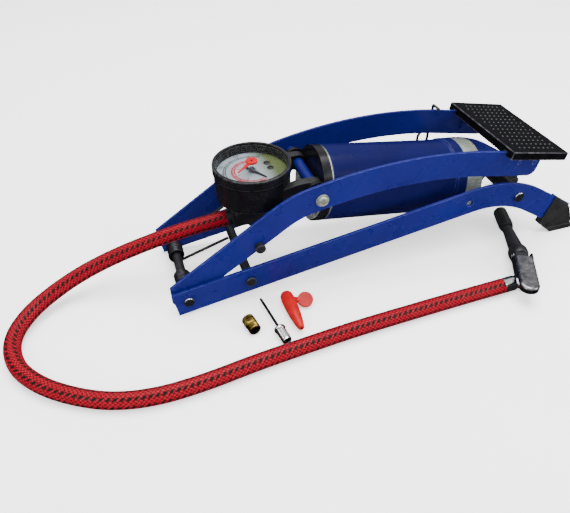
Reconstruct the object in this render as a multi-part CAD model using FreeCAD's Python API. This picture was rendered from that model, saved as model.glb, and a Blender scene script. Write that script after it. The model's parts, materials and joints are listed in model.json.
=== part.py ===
import FreeCAD, Part
import math
import os

from FreeCAD import Vector

# Single-cylinder foot pump with a pressure gauge, a braided hose and three loose adapters.
# Working frame, mm: x from the front lower corners of the base rails towards the pedal,
# y from the middle plane (the hose and the adapters lie on the -y side), z up from the floor.
# The row's frame has its origin under the middle of the object's box, so every piece is shifted
# by ROW_SHIFT when it is written.
ROW_SHIFT = Vector(-152.5, 21.4, 0)

# Base: two bent strip rails
RAIL_ROUTE = [(-1.54, 9.37), (238.9, 48.95), (296.0, 14.4)]
RAIL_BENDS = [74.5]
RAIL_WIDTH = 19.0
RAIL_INNER = 33.0
RAIL_OUTER = 35.0
HINGE = (7.5, 11.2)
CROSS_ROD = (49.5, 16.8)
LATCH_HOLE = (208.9, 43.5)
SHAFT = (249.3, 40.4)
LATCH_HOLE_R = 2.5

# Pedal arms: two bent strips between the rails
ARM_ROUTE = [(-14.0, 4.5), (81.1, 67.45), (157.0, 83.5), (260.0, 63.87)]
ARM_BENDS = [60.0, 310.0]
ARM_WIDTH = 18.5
ARM_INNER = 30.8
ARM_OUTER = 32.6
ARM_FRONT_X = -3.0
ARM_CORNER_R = 6.0
PIVOT = (98.6, 69.3)
STUD = (57.0, 43.0)

# Pedal, in its own plane on the arms' top edges: t along the arms, h square to them
PEDAL_X = 228.0
PEDAL_LENGTH = 46.6
PEDAL_HALF = 39.4
TREAD_TOP = 3.2
TREAD_SKIRT = -2.6
PLATE_THICK = 2.0

# Cylinder, in its own frame: s along the axis from the head towards the rod, n square to it
PIVOT_RISE = 7.8
ROD_EYE_S = 146.6
HEAD_R = 25.65
TUBE_R = 25.0
BORE_R = 24.0
SHELL_R = 25.05
REAR_CAP_R = 26.0
ROD_R = 5.0
SPACER_R = 5.2
RUNNING = 0.06

# Gauge
GAUGE_X = 62.6
CASE_R = 24.6
BEZEL_R = 25.3
CASE_FLOOR = 62.0
CASE_TOP = 84.0
DIAL_Z = 77.6
LENS_TOP = 84.8

# Hose
HOSE_R = 5.2
OUTLET = Vector(43.6, 0.0, 45.8)
ARC_SHARE = 0.45
HOSE_ROUTE = [
    OUTLET,
    Vector(20.1, 1.2, 42.6),
    Vector(-4.8, 3.9, 36.0),
    Vector(-31.1, 7.3, 27.0),
    Vector(-55.8, 7.4, 18.0),
    Vector(-77.0, 1.6, 10.8),
    Vector(-93.4, -9.8, 7.0),
    Vector(-103.4, -27.9, 5.4),
    Vector(-100.5, -49.4, 5.2),
    Vector(-88.0, -67.0, 5.2),
    Vector(-70.1, -81.3, 5.2),
    Vector(-48.9, -92.6, 5.2),
    Vector(-24.8, -97.6, 5.2),
    Vector(3.7, -96.6, 5.2),
    Vector(35.8, -92.0, 5.2),
    Vector(69.0, -88.9, 5.2),
    Vector(103.2, -86.0, 5.2),
    Vector(138.0, -84.4, 5.2),
    Vector(176.1, -82.9, 5.2),
    Vector(213.6, -81.8, 5.2),
]
HOSE_END = HOSE_ROUTE[-1]
HOSE_END_WAY = (HOSE_END - HOSE_ROUTE[-2]).normalize()
FERRULE_LENGTH = 12.4

# Tyre connector: its neck's axis runs from the mouth back to the collar, where the body turns aside
MOUTH = Vector(260.6, -10.0, 6.9)
CHUCK_BACK = Vector(-0.339, -0.941, 0).normalize()
BODY_BACK = Vector(-0.475, -0.88, 0).normalize()
BODY_ORIGIN = MOUTH + (CHUCK_BACK - BODY_BACK) * 51
CHUCK_BORE_R = 4.0
CHUCK_BORE_DEPTH = 12.0
LEVER_PIN_H = 61.0
LEVER_PIN_Z = 11.4
LEVER_PIN_R = 1.5

WIRE_R = 1.0
Y_AXIS = Vector(0, 1, 0)
Z_AXIS = Vector(0, 0, 1)
SIDES = (-1, 1)


# ---------------------------------------------------------------- helpers
def spot(place, y=0.0):
    """Point at an (x, z) place and a depth y."""
    return Vector(place[0], y, place[1])


def fuse(shapes):
    """One solid from several that overlap."""
    return shapes[0].fuse(shapes[1:]).removeSplitter()


def bar(start, end, radius):
    """Round bar between two points."""
    run = end - start
    return Part.makeCylinder(radius, run.Length, start, run)


def pin(place, y0, y1, radius):
    """Round bar along y through an (x, z) place."""
    return bar(spot(place, y0), spot(place, y1), radius)


def sleeve(place, y0, y1, outer, inner):
    """Round tube along y through an (x, z) place."""
    return pin(place, y0, y1, outer).cut(pin(place, y0, y1, inner))


def prism(corners, y0, y1):
    """Plate with an outline of (x, z) corners, from y0 to y1."""
    points = [Vector(x, y0, z) for x, z in corners]
    face = Part.Face(Part.makePolygon(points + points[:1]))
    return face.extrude(Vector(0, y1 - y0, 0))


def block(x0, x1, y0, y1, z0, z1):
    """Box between two corners."""
    return Part.makeBox(x1 - x0, y1 - y0, z1 - z0, Vector(x0, y0, z0))


def lathe(outline, origin, axis):
    """Solid turned about an axis from an outline of (radius, height) corners."""
    points = [Vector(radius, 0, height) for radius, height in outline]
    face = Part.Face(Part.makePolygon(points + points[:1]))
    solid = face.revolve(Vector(0, 0, 0), Z_AXIS, 360)
    solid.Placement = FreeCAD.Placement(origin, FreeCAD.Rotation(Z_AXIS, axis))
    return solid


def ring(outer, inner, low, high):
    """Outline of a plain ring for lathe."""
    return [(inner, low), (outer, low), (outer, high), (inner, high)]


def disc(radius, low, high):
    """Outline of a plain disc for lathe."""
    return [(0, low), (radius, low), (radius, high), (0, high)]


def wire_form(points, radius):
    """Bent round wire: straight bars with a ball at each bend."""
    pieces = [bar(a, b, radius) for a, b in zip(points, points[1:])]
    balls = [Part.makeSphere(radius, point) for point in points[1:-1]]
    return fuse(pieces + balls)


def upward(direction):
    """Unit normal on the upper side of a direction in the xz plane."""
    return Vector(-direction.z, 0, direction.x).normalize()


def parallel(route, bends, shift, y):
    """Edges of the line at a distance above a strip's centreline, which bends downwards at each corner."""
    points = [Vector(x, y, z) for x, z in route]
    normal = upward(points[1] - points[0])
    start = points[0] + normal * shift
    edges = []
    for before, corner, after, radius in zip(points, points[1:], points[2:], bends):
        way_in = (corner - before).normalize()
        way_out = (after - corner).normalize()
        reach = radius * math.tan(way_in.getAngle(way_out) / 2)
        centre = corner - way_in * reach - upward(way_in) * radius
        middle = (upward(way_in) + upward(way_out)).normalize()
        arc = [centre + side * (radius + shift) for side in (upward(way_in), middle, upward(way_out))]
        edges.append(Part.LineSegment(start, arc[0]).toShape())
        edges.append(Part.Arc(*arc).toShape())
        start = arc[2]
    end = points[-1] + upward(points[-1] - points[-2]) * shift
    edges.append(Part.LineSegment(start, end).toShape())
    return edges, points[0] + normal * shift, end


def strip(route, bends, width, y0, y1):
    """Flat strip that follows a centreline in the xz plane."""
    top, top_start, top_end = parallel(route, bends, width / 2, y0)
    low, low_start, low_end = parallel(route, bends, -width / 2, y0)
    ends = [
        Part.LineSegment(top_end, low_end).toShape(),
        Part.LineSegment(low_start, top_start).toShape(),
    ]
    outline = Part.Wire(Part.__sortEdges__(top + ends + low))
    return Part.Face(outline).extrude(Vector(0, y1 - y0, 0))


def near(edge, place):
    """Whether an edge runs along y through an (x, z) place."""
    centre = edge.CenterOfMass
    return abs(centre.x - place[0]) < 0.05 and abs(centre.z - place[1]) < 0.05


def round_corner(solid, place, radius):
    """Solid with the y edge at an (x, z) place rounded."""
    return solid.makeFillet(radius, [edge for edge in solid.Edges if near(edge, place)])


# ---------------------------------------------------------------- local frames
REACH = spot(SHAFT) - spot(PIVOT)
AXIS_ANGLE = math.atan2(REACH.z, REACH.x) + math.asin(PIVOT_RISE / REACH.Length)
ALONG = Vector(math.cos(AXIS_ANGLE), 0, math.sin(AXIS_ANGLE))
ACROSS = upward(ALONG)
HEAD = spot(SHAFT) - ALONG * ROD_EYE_S
PIVOT_S = (spot(PIVOT) - HEAD).dot(ALONG)

ARM_WAY = (spot(ARM_ROUTE[3]) - spot(ARM_ROUTE[2])).normalize()
ARM_UP = upward(ARM_WAY)
PEDAL = spot(ARM_ROUTE[2]) + ARM_WAY * ((PEDAL_X - ARM_ROUTE[2][0]) / ARM_WAY.x) + ARM_UP * (ARM_WIDTH / 2)


def in_cylinder(s, n):
    """(x, z) place of a point of the cylinder's frame."""
    point = HEAD + ALONG * s + ACROSS * n
    return (point.x, point.z)


def turned(outline):
    """Solid turned about the cylinder's axis; heights are s."""
    return lathe(outline, HEAD, ALONG)


def cylinder_plate(corners, y0, y1):
    """Plate with an outline of (s, n) corners."""
    return prism([in_cylinder(s, n) for s, n in corners], y0, y1)


def on_pedal(t, h):
    """(x, z) place of a point of the pedal's frame."""
    point = PEDAL + ARM_WAY * t + ARM_UP * h
    return (point.x, point.z)


def pedal_slab(t0, t1, h0, h1, y0, y1):
    """Box square to the pedal."""
    return prism([on_pedal(t0, h0), on_pedal(t1, h0), on_pedal(t1, h1), on_pedal(t0, h1)], y0, y1)


# ---------------------------------------------------------------- base
ROD_TENON_R = 2.0
BOLT_R = 2.6
HINGE_R = 2.5
HEAD_PROUD = 1.6


def rail(side):
    """Bent base rail on one side, with its four holes."""
    low, high = sorted((side * RAIL_INNER, side * RAIL_OUTER))
    solid = strip(RAIL_ROUTE, RAIL_BENDS, RAIL_WIDTH, low, high)
    holes = ((HINGE, HINGE_R), (CROSS_ROD, ROD_TENON_R), (LATCH_HOLE, LATCH_HOLE_R), (SHAFT, BOLT_R))
    for place, radius in holes:
        solid = solid.cut(pin(place, low - 1, high + 1, radius))
    return solid


def riveted_rod(place, shank, head):
    """Rod across both rails with a rivet head outside each."""
    pieces = [pin(place, -RAIL_OUTER, RAIL_OUTER, shank)]
    for side in SIDES:
        pieces.append(pin(place, side * RAIL_OUTER, side * (RAIL_OUTER + HEAD_PROUD), head))
    return fuse(pieces)


def cross_rod():
    """Stretcher with shouldered ends, which the torsion spring's leg bears on."""
    return fuse([pin(CROSS_ROD, -RAIL_INNER, RAIL_INNER, 3.25), riveted_rod(CROSS_ROD, ROD_TENON_R, 3.6)])


FOOT_OUTLINE = [(277.0, 9.6), (289.0, 0.0), (308.0, 0.0), (307.0, 7.4), (300.5, 20.6), (295.3, 25.6),
                (284.5, 33.0), (278.3, 14.2)]
SOLE_OUTLINE = [(284.9, 4.2), (288.7, 0.0), (308.4, 0.0), (308.0, 4.2)]
FOOT_INNER = 30.6
FOOT_OUTER = 36.2
SOLE_FLANGE = 1.1


def foot(side):
    """Rubber shoe pushed over a rail's rear end, with a flanged sole."""
    low, high = sorted((side * FOOT_INNER, side * FOOT_OUTER))
    shoe = fuse([prism(FOOT_OUTLINE, low, high),
                 prism(SOLE_OUTLINE, low - SOLE_FLANGE, high + SOLE_FLANGE)])
    inner, outer = sorted((side * RAIL_INNER, side * RAIL_OUTER))
    return shoe.cut(strip(RAIL_ROUTE, RAIL_BENDS, RAIL_WIDTH, inner, outer))


COIL_OUTER = 5.7
COIL_INNER = 3.7
COIL_TURNS = 5
COIL_PITCH = 2.2
COIL_MIDDLE = (COIL_OUTER + COIL_INNER) / 2
FAR_COIL_Y = 11.0
NEAR_COIL_Y = -18.0


def coil(y0):
    """Close-wound coil as a sleeve with one ridge for each turn."""
    radius = COIL_PITCH / 2
    crest = [Part.LineSegment(Vector(COIL_INNER, 0, 0), Vector(COIL_MIDDLE, 0, 0)).toShape()]
    for turn in range(COIL_TURNS):
        low = turn * COIL_PITCH
        tip = Vector(COIL_OUTER, 0, low + radius)
        arc = Part.Arc(Vector(COIL_MIDDLE, 0, low), tip, Vector(COIL_MIDDLE, 0, low + COIL_PITCH))
        crest.append(arc.toShape())
    length = COIL_TURNS * COIL_PITCH
    crest.append(Part.LineSegment(Vector(COIL_MIDDLE, 0, length), Vector(COIL_INNER, 0, length)).toShape())
    crest.append(Part.LineSegment(Vector(COIL_INNER, 0, length), Vector(COIL_INNER, 0, 0)).toShape())
    solid = Part.Face(Part.Wire(crest)).revolve(Vector(0, 0, 0), Z_AXIS, 360)
    solid.Placement = FreeCAD.Placement(spot(HINGE, y0), FreeCAD.Rotation(Z_AXIS, Y_AXIS))
    return solid


def base_leg(y):
    """Spring leg from the bottom of a coil to the front of the cross rod."""
    return bar(Vector(HINGE[0] + 1.4, y, HINGE[1] - COIL_MIDDLE), Vector(45.5, y, 18.6), WIRE_R)


def torsion_spring():
    """Two coils round the hinge tube, each with its base leg."""
    far = fuse([coil(FAR_COIL_Y), base_leg(FAR_COIL_Y + WIRE_R)])
    inner_end = NEAR_COIL_Y + COIL_TURNS * COIL_PITCH
    near_one = fuse([coil(NEAR_COIL_Y), base_leg(inner_end - WIRE_R)])
    return Part.makeCompound([far, near_one])


# ---------------------------------------------------------------- latch
HOOK_Y = 37.0
HOOK_TOP = 83.8
STAPLE_X = (207.4, 210.4)
HOOK_FRONT_X = 206.0
HOOK_REAR_X = 212.6


def latch_staple():
    """Rivet in the far rail whose outer eye carries the hook's pivot bar."""
    stem = pin(LATCH_HOLE, RAIL_INNER - 1.2, RAIL_OUTER + 0.6, LATCH_HOLE_R)
    flange = pin(LATCH_HOLE, RAIL_OUTER, RAIL_OUTER + 0.6, 4.2)
    head = pin(LATCH_HOLE, RAIL_INNER - 1.2, RAIL_INNER, 3.6)
    start = Vector(STAPLE_X[0], HOOK_Y, LATCH_HOLE[1])
    end = Vector(STAPLE_X[1], HOOK_Y, LATCH_HOLE[1])
    eye = bar(start, end, 2.2).cut(block(200, 220, 30, RAIL_OUTER, 30, 60))
    return fuse([stem, flange, head, eye]).cut(bar(start, end, WIRE_R + RUNNING))


def latch_hook():
    """Wire hook: pivot bar, front finger leg and rear leg that bends over the far arm's top edge."""
    z = LATCH_HOLE[1]
    finger = [(HOOK_FRONT_X, z), (204.0, 58.7), (208.0, 64.7), (212.8, 69.0)]
    rear = [Vector(HOOK_FRONT_X, HOOK_Y, z), Vector(HOOK_REAR_X, HOOK_Y, z), Vector(213.0, HOOK_Y, HOOK_TOP),
            Vector(213.0, 28.6, HOOK_TOP)]
    front = wire_form([spot(place, HOOK_Y) for place in finger], WIRE_R)
    balls = [Part.makeSphere(WIRE_R, rear[0])]
    return fuse([wire_form(rear, WIRE_R), front] + balls)


# ---------------------------------------------------------------- pedal frame
SCREW_R = 2.0
PEDAL_RIVETS = [(15.0, -8.0), (28.0, -8.0)]
PEDAL_RIVET_R = 1.6
STUD_R = 3.3
STUD_SHANK_R = 1.8


def arm(side):
    """Bent pedal arm on one side, with its eye round the hinge shaft and its holes."""
    low, high = sorted((side * ARM_INNER, side * ARM_OUTER))
    solid = strip(ARM_ROUTE, ARM_BENDS, ARM_WIDTH, low, high)
    solid = solid.cut(block(-60, ARM_FRONT_X, -60, 60, -60, 60))
    slope = (ARM_ROUTE[1][1] - ARM_ROUTE[0][1]) / (ARM_ROUTE[1][0] - ARM_ROUTE[0][0])
    drop = ARM_WIDTH / 2 * math.hypot(1, slope)
    front_low = (ARM_FRONT_X, ARM_ROUTE[0][1] + slope * (ARM_FRONT_X - ARM_ROUTE[0][0]) - drop)
    rear_low = spot(ARM_ROUTE[3]) - ARM_UP * (ARM_WIDTH / 2)
    solid = round_corner(solid, front_low, ARM_CORNER_R)
    solid = round_corner(solid, (rear_low.x, rear_low.z), ARM_CORNER_R)
    solid = fuse([solid, pin(HINGE, low, high, 6.5)])
    holes = [(HINGE, HINGE_R + RUNNING), (PIVOT, SCREW_R), (STUD, STUD_SHANK_R)]
    holes += [(on_pedal(t, h), PEDAL_RIVET_R) for t, h in PEDAL_RIVETS]
    for place, radius in holes:
        solid = solid.cut(pin(place, low - 1, high + 1, radius))
    return solid


def pedal_tread():
    """Moulded foot pad: a slab with a skirt, hollowed for the steel plate and notched for the arms."""
    slab = pedal_slab(-0.4, PEDAL_LENGTH, TREAD_SKIRT, TREAD_TOP, -PEDAL_HALF, PEDAL_HALF)
    slab = slab.cut(pedal_slab(1.4, PEDAL_LENGTH - 1.8, -4, PLATE_THICK, -PEDAL_HALF + 1.8, PEDAL_HALF - 1.8))
    for side in SIDES:
        low, high = sorted((side * (ARM_INNER - 0.3), side * (ARM_OUTER + 0.3)))
        slab = slab.cut(pedal_slab(-2, 2, -4, 0.02, low, high))
    return slab


def pedal_plate():
    """Steel plate on the arms' top edges, inside the foot pad."""
    half = PEDAL_HALF - 1.9
    return pedal_slab(1.5, PEDAL_LENGTH - 1.9, 0, PLATE_THICK, -half, half)


def pedal_bracket():
    """Channel under the plate, riveted between the arms."""
    wall = 1.6
    channel = pedal_slab(9, 34, -14, 0, -ARM_INNER, ARM_INNER)
    channel = channel.cut(pedal_slab(8, 35, -15, -wall, -ARM_INNER + wall, ARM_INNER - wall))
    for t, h in PEDAL_RIVETS:
        channel = channel.cut(pin(on_pedal(t, h), -ARM_OUTER, ARM_OUTER, PEDAL_RIVET_R))
    return channel


def rivet(place, side, inner, outer, shank, head):
    """Rivet through plates between two depths, flush outside and with a head inside."""
    return fuse([pin(place, side * inner, side * outer, shank),
                 pin(place, side * (inner - 0.9), side * inner, head)])


def pedal_rivets():
    """Four rivets that hold the bracket to the arms."""
    solids = []
    for t, h in PEDAL_RIVETS:
        for side in SIDES:
            solids.append(rivet(on_pedal(t, h), side, ARM_INNER - 1.6, ARM_OUTER, PEDAL_RIVET_R, 2.6))
    return Part.makeCompound(solids)


def stop_studs():
    """Stud on each arm that the spring leg bears on and that rests over the rail."""
    solids = []
    for side in SIDES:
        solids.append(fuse([pin(STUD, side * 28.6, side * ARM_INNER, 2.6),
                            pin(STUD, side * ARM_INNER, side * ARM_OUTER, STUD_SHANK_R),
                            pin(STUD, side * ARM_OUTER, side * 36.5, STUD_R)]))
    return Part.makeCompound(solids)


def spring_arm_legs():
    """Outer turn and arm leg of each spring coil, which swing with the arms."""
    solids = []
    for side, end in ((1, FAR_COIL_Y + COIL_TURNS * COIL_PITCH), (-1, NEAR_COIL_Y)):
        y0 = end + side * 0.3
        y1 = y0 + side * 2 * WIRE_R
        turn = sleeve(HINGE, y0, y1, COIL_OUTER, COIL_INNER)
        middle = (y0 + y1) / 2
        start = Vector(HINGE[0] - 2.1, middle, HINGE[1] + 4.2)
        tip = Vector(54.6, side * 29.3, 38.2)
        solids.append(fuse([turn, bar(start, tip, WIRE_R)]))
    return Part.makeCompound(solids)


def pivot_screws():
    """Pan head screw in each end of the pivot tube."""
    solids = []
    for side in SIDES:
        solids.append(fuse([pin(PIVOT, side * 22, side * 33.4, SCREW_R),
                            pin(PIVOT, side * 33.4, side * 35.6, 3.5)]))
    return Part.makeCompound(solids)


def pivot_washers():
    """Washer under each pivot screw's head."""
    return Part.makeCompound([sleeve(PIVOT, s * ARM_OUTER, s * 33.4, 4.3, SCREW_R) for s in SIDES])


# ---------------------------------------------------------------- cylinder
EAR_R = 7.0
EAR_Y = (20.8, 23.6)
CLAMP_R = 5.9
CLAMP_Y = (14.0, 20.0)
PIVOT_TUBE_R = 3.7


def clamp_grooves():
    """Room for the gauge bracket's clamp rings to turn in the cylinder head's face."""
    return [pin(PIVOT, *sorted((s * (CLAMP_Y[0] - 0.6), s * (CLAMP_Y[1] + 0.6))), CLAMP_R + 0.5)
            for s in SIDES]


def ears():
    """Two ears that join the cylinder head to the pivot tube."""
    solids = []
    for side in SIDES:
        low, high = sorted((side * EAR_Y[0], side * EAR_Y[1]))
        solids.append(fuse([pin(PIVOT, low, high, EAR_R),
                            cylinder_plate([(PIVOT_S, 0.9), (0, -3), (0, 9.5), (PIVOT_S, 14.7)], low, high)]))
    return solids


def head_cap():
    """Cylinder head: a cap with a plug in the tube and two ears round the pivot tube."""
    cap = turned([(0, -2), (HEAD_R, -2), (HEAD_R, 4), (BORE_R - 0.05, 4), (BORE_R - 0.05, 12), (0, 12)])
    solid = fuse([cap] + ears())
    for groove in clamp_grooves():
        solid = solid.cut(groove)
    solid = solid.cut(pin(PIVOT, -30, 30, PIVOT_TUBE_R + RUNNING))
    return solid.cut(turned(ring(BORE_R + 1, 22.9, 7, 9)))


def head_plate():
    """D-shaped zinc plate on the lower part of the head's face, between the ears."""
    plate = turned(disc(24.4, -3.2, -2))
    plate = plate.common(cylinder_plate([(-6, -30), (0, -30), (0, 2.6), (-6, 2.6)], -30, 30))
    for ear in ears():
        plate = plate.cut(ear)
    return plate


def cylinder_tube():
    """Zinc-plated pressure tube."""
    return turned(ring(TUBE_R, BORE_R, 4, 117))


def barrel_shell():
    """Painted sleeve round the tube, with a rolled rear lip."""
    return turned([(SHELL_R, 5.2), (HEAD_R, 5.2), (HEAD_R, 97), (26.6, 98.5), (26.6, 106), (SHELL_R, 106)])


def rear_cap():
    """Zinc end cap with the rod's hole and four breather holes."""
    outline = [(ROD_R + RUNNING, 117), (SHELL_R, 117), (SHELL_R, 106), (REAR_CAP_R, 106), (REAR_CAP_R, 119),
               (ROD_R + RUNNING, 119)]
    cap = turned(outline)
    for quarter in range(4):
        angle = math.radians(45 + 90 * quarter)
        centre = HEAD + ALONG * 116 + ACROSS * (15 * math.cos(angle)) + Y_AXIS * (15 * math.sin(angle))
        cap = cap.cut(bar(centre, centre + ALONG * 4, 1.8))
    return cap


def rod_end():
    """Flat end of the rod over the rear shaft. Its seat is open forwards and downwards."""
    seat = SPACER_R + 0.15
    reach = SPACER_R + 0.5
    plate = fuse([pin(SHAFT, -4.5, 4.5, 10.5),
                  cylinder_plate([(ROD_EYE_S - 19, -7.5), (ROD_EYE_S, -10.4), (ROD_EYE_S, 10.4),
                                  (ROD_EYE_S - 19, 7.5)], -4.5, 4.5)])
    lean = math.radians(25.2)
    wall = (-reach * math.cos(lean), reach * math.sin(lean))
    depth = 14.0
    foot_s = wall[0] - (wall[1] + depth) * math.tan(lean)
    corners = [(0, 0), wall, (foot_s, -depth), (seat, -depth), (seat, 0)]
    slot = cylinder_plate([(ROD_EYE_S + s, n) for s, n in corners], -5, 5)
    return plate.cut(slot).cut(pin(SHAFT, -5, 5, seat))


# ---------------------------------------------------------------- gauge and manifold
def gauge_turned(outline):
    """Solid turned about the gauge's axis; heights are z."""
    return lathe(outline, Vector(GAUGE_X, 0, 0), Z_AXIS)


STEM_R = 4.0
CRADLE_Z = 59.0
SPINDLE_R = 0.8


def gauge_case():
    """Cup with a ledge for the dial."""
    ledge = 21.5
    wall = 23.0
    return gauge_turned([(STEM_R, CASE_FLOOR), (CASE_R, CASE_FLOOR), (CASE_R, CASE_TOP), (wall, CASE_TOP),
                         (wall, DIAL_Z), (ledge, DIAL_Z), (ledge, CASE_FLOOR + 2), (STEM_R, CASE_FLOOR + 2)])


def gauge_bezel():
    """Ring that clips over the case and holds the lens."""
    lip = 23.3
    return gauge_turned([(CASE_R, 79.5), (BEZEL_R, 79.5), (BEZEL_R, 85.0), (BEZEL_R - 0.5, 85.5), (lip, 85.5),
                         (lip, LENS_TOP), (CASE_R, LENS_TOP)])


def gauge_movement():
    """Pressure stem, movement block and the spindle that carries the needle."""
    return fuse([gauge_turned(disc(STEM_R, CRADLE_Z, 66)),
                 block(GAUGE_X - 6, GAUGE_X + 6, -5, 5, CASE_FLOOR + 2, 75),
                 gauge_turned(disc(SPINDLE_R, 74, 80.2))])


def bourdon_tube():
    """C-shaped pressure tube round the movement, with its inner end in the block."""
    sweep = 270
    radius = 15.0
    height = 69.5
    tube = Part.makeTorus(radius, 1.9, Vector(GAUGE_X, 0, height), Z_AXIS, -180, 180, sweep)
    feed = bar(Vector(GAUGE_X + radius, 0, height), Vector(GAUGE_X + 6, 0, height), 1.9)
    return fuse([tube, feed])


def gauge_lens():
    """Clear disc with a pin on its middle, on which the marker turns."""
    return gauge_turned([(0, CASE_TOP), (CASE_R - 0.1, CASE_TOP), (CASE_R - 0.1, LENS_TOP),
                         (SPINDLE_R, LENS_TOP),
                         (SPINDLE_R, LENS_TOP + 1.1), (0, LENS_TOP + 1.1)])


def pointer(angle, length, tail, half, low, high, hub):
    """Flat pointer at an angle from +x, with its hub round a pin."""
    blade = [Vector(-tail, -half, low), Vector(0, -half * 1.3, low), Vector(length, -half * 0.25, low),
             Vector(length, half * 0.25, low), Vector(0, half * 1.3, low), Vector(-tail, half, low)]
    plate = Part.Face(Part.makePolygon(blade + blade[:1])).extrude(Vector(0, 0, high - low))
    plate.rotate(Vector(0, 0, 0), Z_AXIS, angle)
    plate.translate(Vector(GAUGE_X, 0, 0))
    hub_solid = gauge_turned(disc(hub, low, high + 0.6))
    return fuse([plate, hub_solid]).cut(gauge_turned(disc(SPINDLE_R + RUNNING, low - 1, high + 2)))


def gauge_bracket():
    """Cradle under the gauge with two arms that clamp the pivot tube."""
    web = [(82.0, 59.0), (88.0, 59.6), (95.0, 64.4), (98.6, 66.0), (98.6, 75.2), (88.0, 75.2), (76.0, 73.0),
           (76.0, 59.0)]
    pieces = [block(46, 82, -20, 20, CRADLE_Z, CASE_FLOOR)]
    for side in SIDES:
        low, high = sorted((side * CLAMP_Y[0], side * CLAMP_Y[1]))
        pieces.append(prism(web, low, high))
        pieces.append(pin(PIVOT, low, high, CLAMP_R))
    solid = fuse(pieces).cut(gauge_turned(disc(CASE_R, CASE_FLOOR, 90)))
    solid = solid.cut(gauge_turned(disc(STEM_R, 50, 70)))
    return solid.cut(pin(PIVOT, -30, 30, PIVOT_TUBE_R))


def manifold():
    """Air block under the cradle, with the hose outlet and a drain plug."""
    body = block(46.5, 67, -8, 8, 42.5, CRADLE_Z)
    outlet = bar(OUTLET, OUTLET + (OUTLET - HOSE_ROUTE[1]).normalize() * 8, HOSE_R + 0.4)
    plug = Part.makeCylinder(2.6, 6, Vector(60, -3, 38.6))
    return fuse([body, outlet, plug])


# ---------------------------------------------------------------- hose and connector
def hose_line():
    """Straight runs joined by tangent arcs, and the arcs' radii."""
    edges = []
    radii = []
    start = HOSE_ROUTE[0]
    for before, corner, after in zip(HOSE_ROUTE, HOSE_ROUTE[1:], HOSE_ROUTE[2:]):
        way_in = corner - before
        way_out = after - corner
        reach = ARC_SHARE * min(way_in.Length, way_out.Length)
        half_turn = way_in.getAngle(way_out) / 2
        radius = reach / math.tan(half_turn)
        way_in.normalize()
        way_out.normalize()
        inward = (way_out - way_in).normalize()
        middle = corner + inward * (radius / math.cos(half_turn) - radius)
        first = corner - way_in * reach
        last = corner + way_out * reach
        edges.append(Part.LineSegment(start, first).toShape())
        edges.append(Part.Arc(first, middle, last).toShape())
        radii.append(radius)
        start = last
    edges.append(Part.LineSegment(start, HOSE_ROUTE[-1]).toShape())
    return Part.Wire(edges), radii


def hose():
    """Solid tube along the hose's line."""
    line, radii = hose_line()
    section = Part.Wire(Part.makeCircle(HOSE_R, HOSE_ROUTE[0], HOSE_ROUTE[1] - HOSE_ROUTE[0]))
    solid = line.makePipeShell([section], True, False)
    expected = math.pi * HOSE_R ** 2 * line.Length
    print("hose length %.1f, volume / section x length %.5f" % (line.Length, solid.Volume / expected))
    print("hose radii", " ".join("%.0f" % radius for radius in radii))
    return solid


def hose_ferrule():
    """Crimped collar on the hose's end, between the hose and the connector's socket."""
    return lathe([(0, 0), (HOSE_R, 0), (HOSE_R, 8.6), (HOSE_R - 0.6, 9.4), (HOSE_R - 0.6, FERRULE_LENGTH),
                  (0, FERRULE_LENGTH)], HOSE_END, HOSE_END_WAY)


def chuck(outline):
    """Solid turned about the connector's axis; heights run back from the mouth."""
    return lathe(outline, MOUTH, CHUCK_BACK)


CHUCK_SIDE = BODY_BACK.cross(Z_AXIS).normalize()
SLEEVE_END = 21.0
CONE_END = 46.0
COLLAR_END = 55.0
BODY_R = 5.4
BODY_END = 84.0
SEAL_R = 3.6
CHUCK_PASSAGE_R = 1.4
LEVER_HALF = 6.7
LEVER_FRONT = 58.5
LEVER_CROWN = 63.9
LEVER_TIP = 98.0
LEVER_LOW = 11.4
LEVER_TOP = 15.9
LEVER_DOME = 2.2


def chuck_point(back, side, z):
    """Point of the body at a distance back from the mouth, to one side of the axis and at a height."""
    place = BODY_ORIGIN + BODY_BACK * back + CHUCK_SIDE * side
    return Vector(place.x, place.y, z)


def chuck_box(back0, back1, side0, side1, z0, z1):
    """Box square to the body's axis."""
    corners = [chuck_point(b, s, z0)
               for b, s in ((back0, side0), (back1, side0), (back1, side1), (back0, side1))]
    return Part.Face(Part.makePolygon(corners + corners[:1])).extrude(Vector(0, 0, z1 - z0))


def nozzle_sleeve():
    """Grip sleeve with the tyre valve's bore in its mouth."""
    step = CHUCK_BORE_DEPTH
    return chuck([(CHUCK_BORE_R, 0), (4.8, 0), (5.0, 1), (5.3, 17), (5.1, 18.5), (4.5, SLEEVE_END),
                  (SEAL_R, SLEEVE_END), (SEAL_R, step), (CHUCK_BORE_R, step)])


def valve_seal():
    """Rubber seal at the bottom of the sleeve's bore."""
    return chuck([(CHUCK_PASSAGE_R, CHUCK_BORE_DEPTH), (SEAL_R, CHUCK_BORE_DEPTH),
                  (SEAL_R, 15.5), (CHUCK_PASSAGE_R, 15.5)])


def nozzle_cone():
    """Hollow neck that widens towards the collar."""
    return chuck([(CHUCK_PASSAGE_R, 15.5), (SEAL_R, 15.5), (SEAL_R, SLEEVE_END), (5.2, CONE_END),
                  (CHUCK_PASSAGE_R, CONE_END)])


def connector_collar():
    """Round collar between the neck and the body."""
    return chuck([(0, CONE_END), (5.4, CONE_END), (6.5, 48), (6.9, 51), (6.7, 53.5), (5.9, COLLAR_END),
                  (0, COLLAR_END)])


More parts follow.
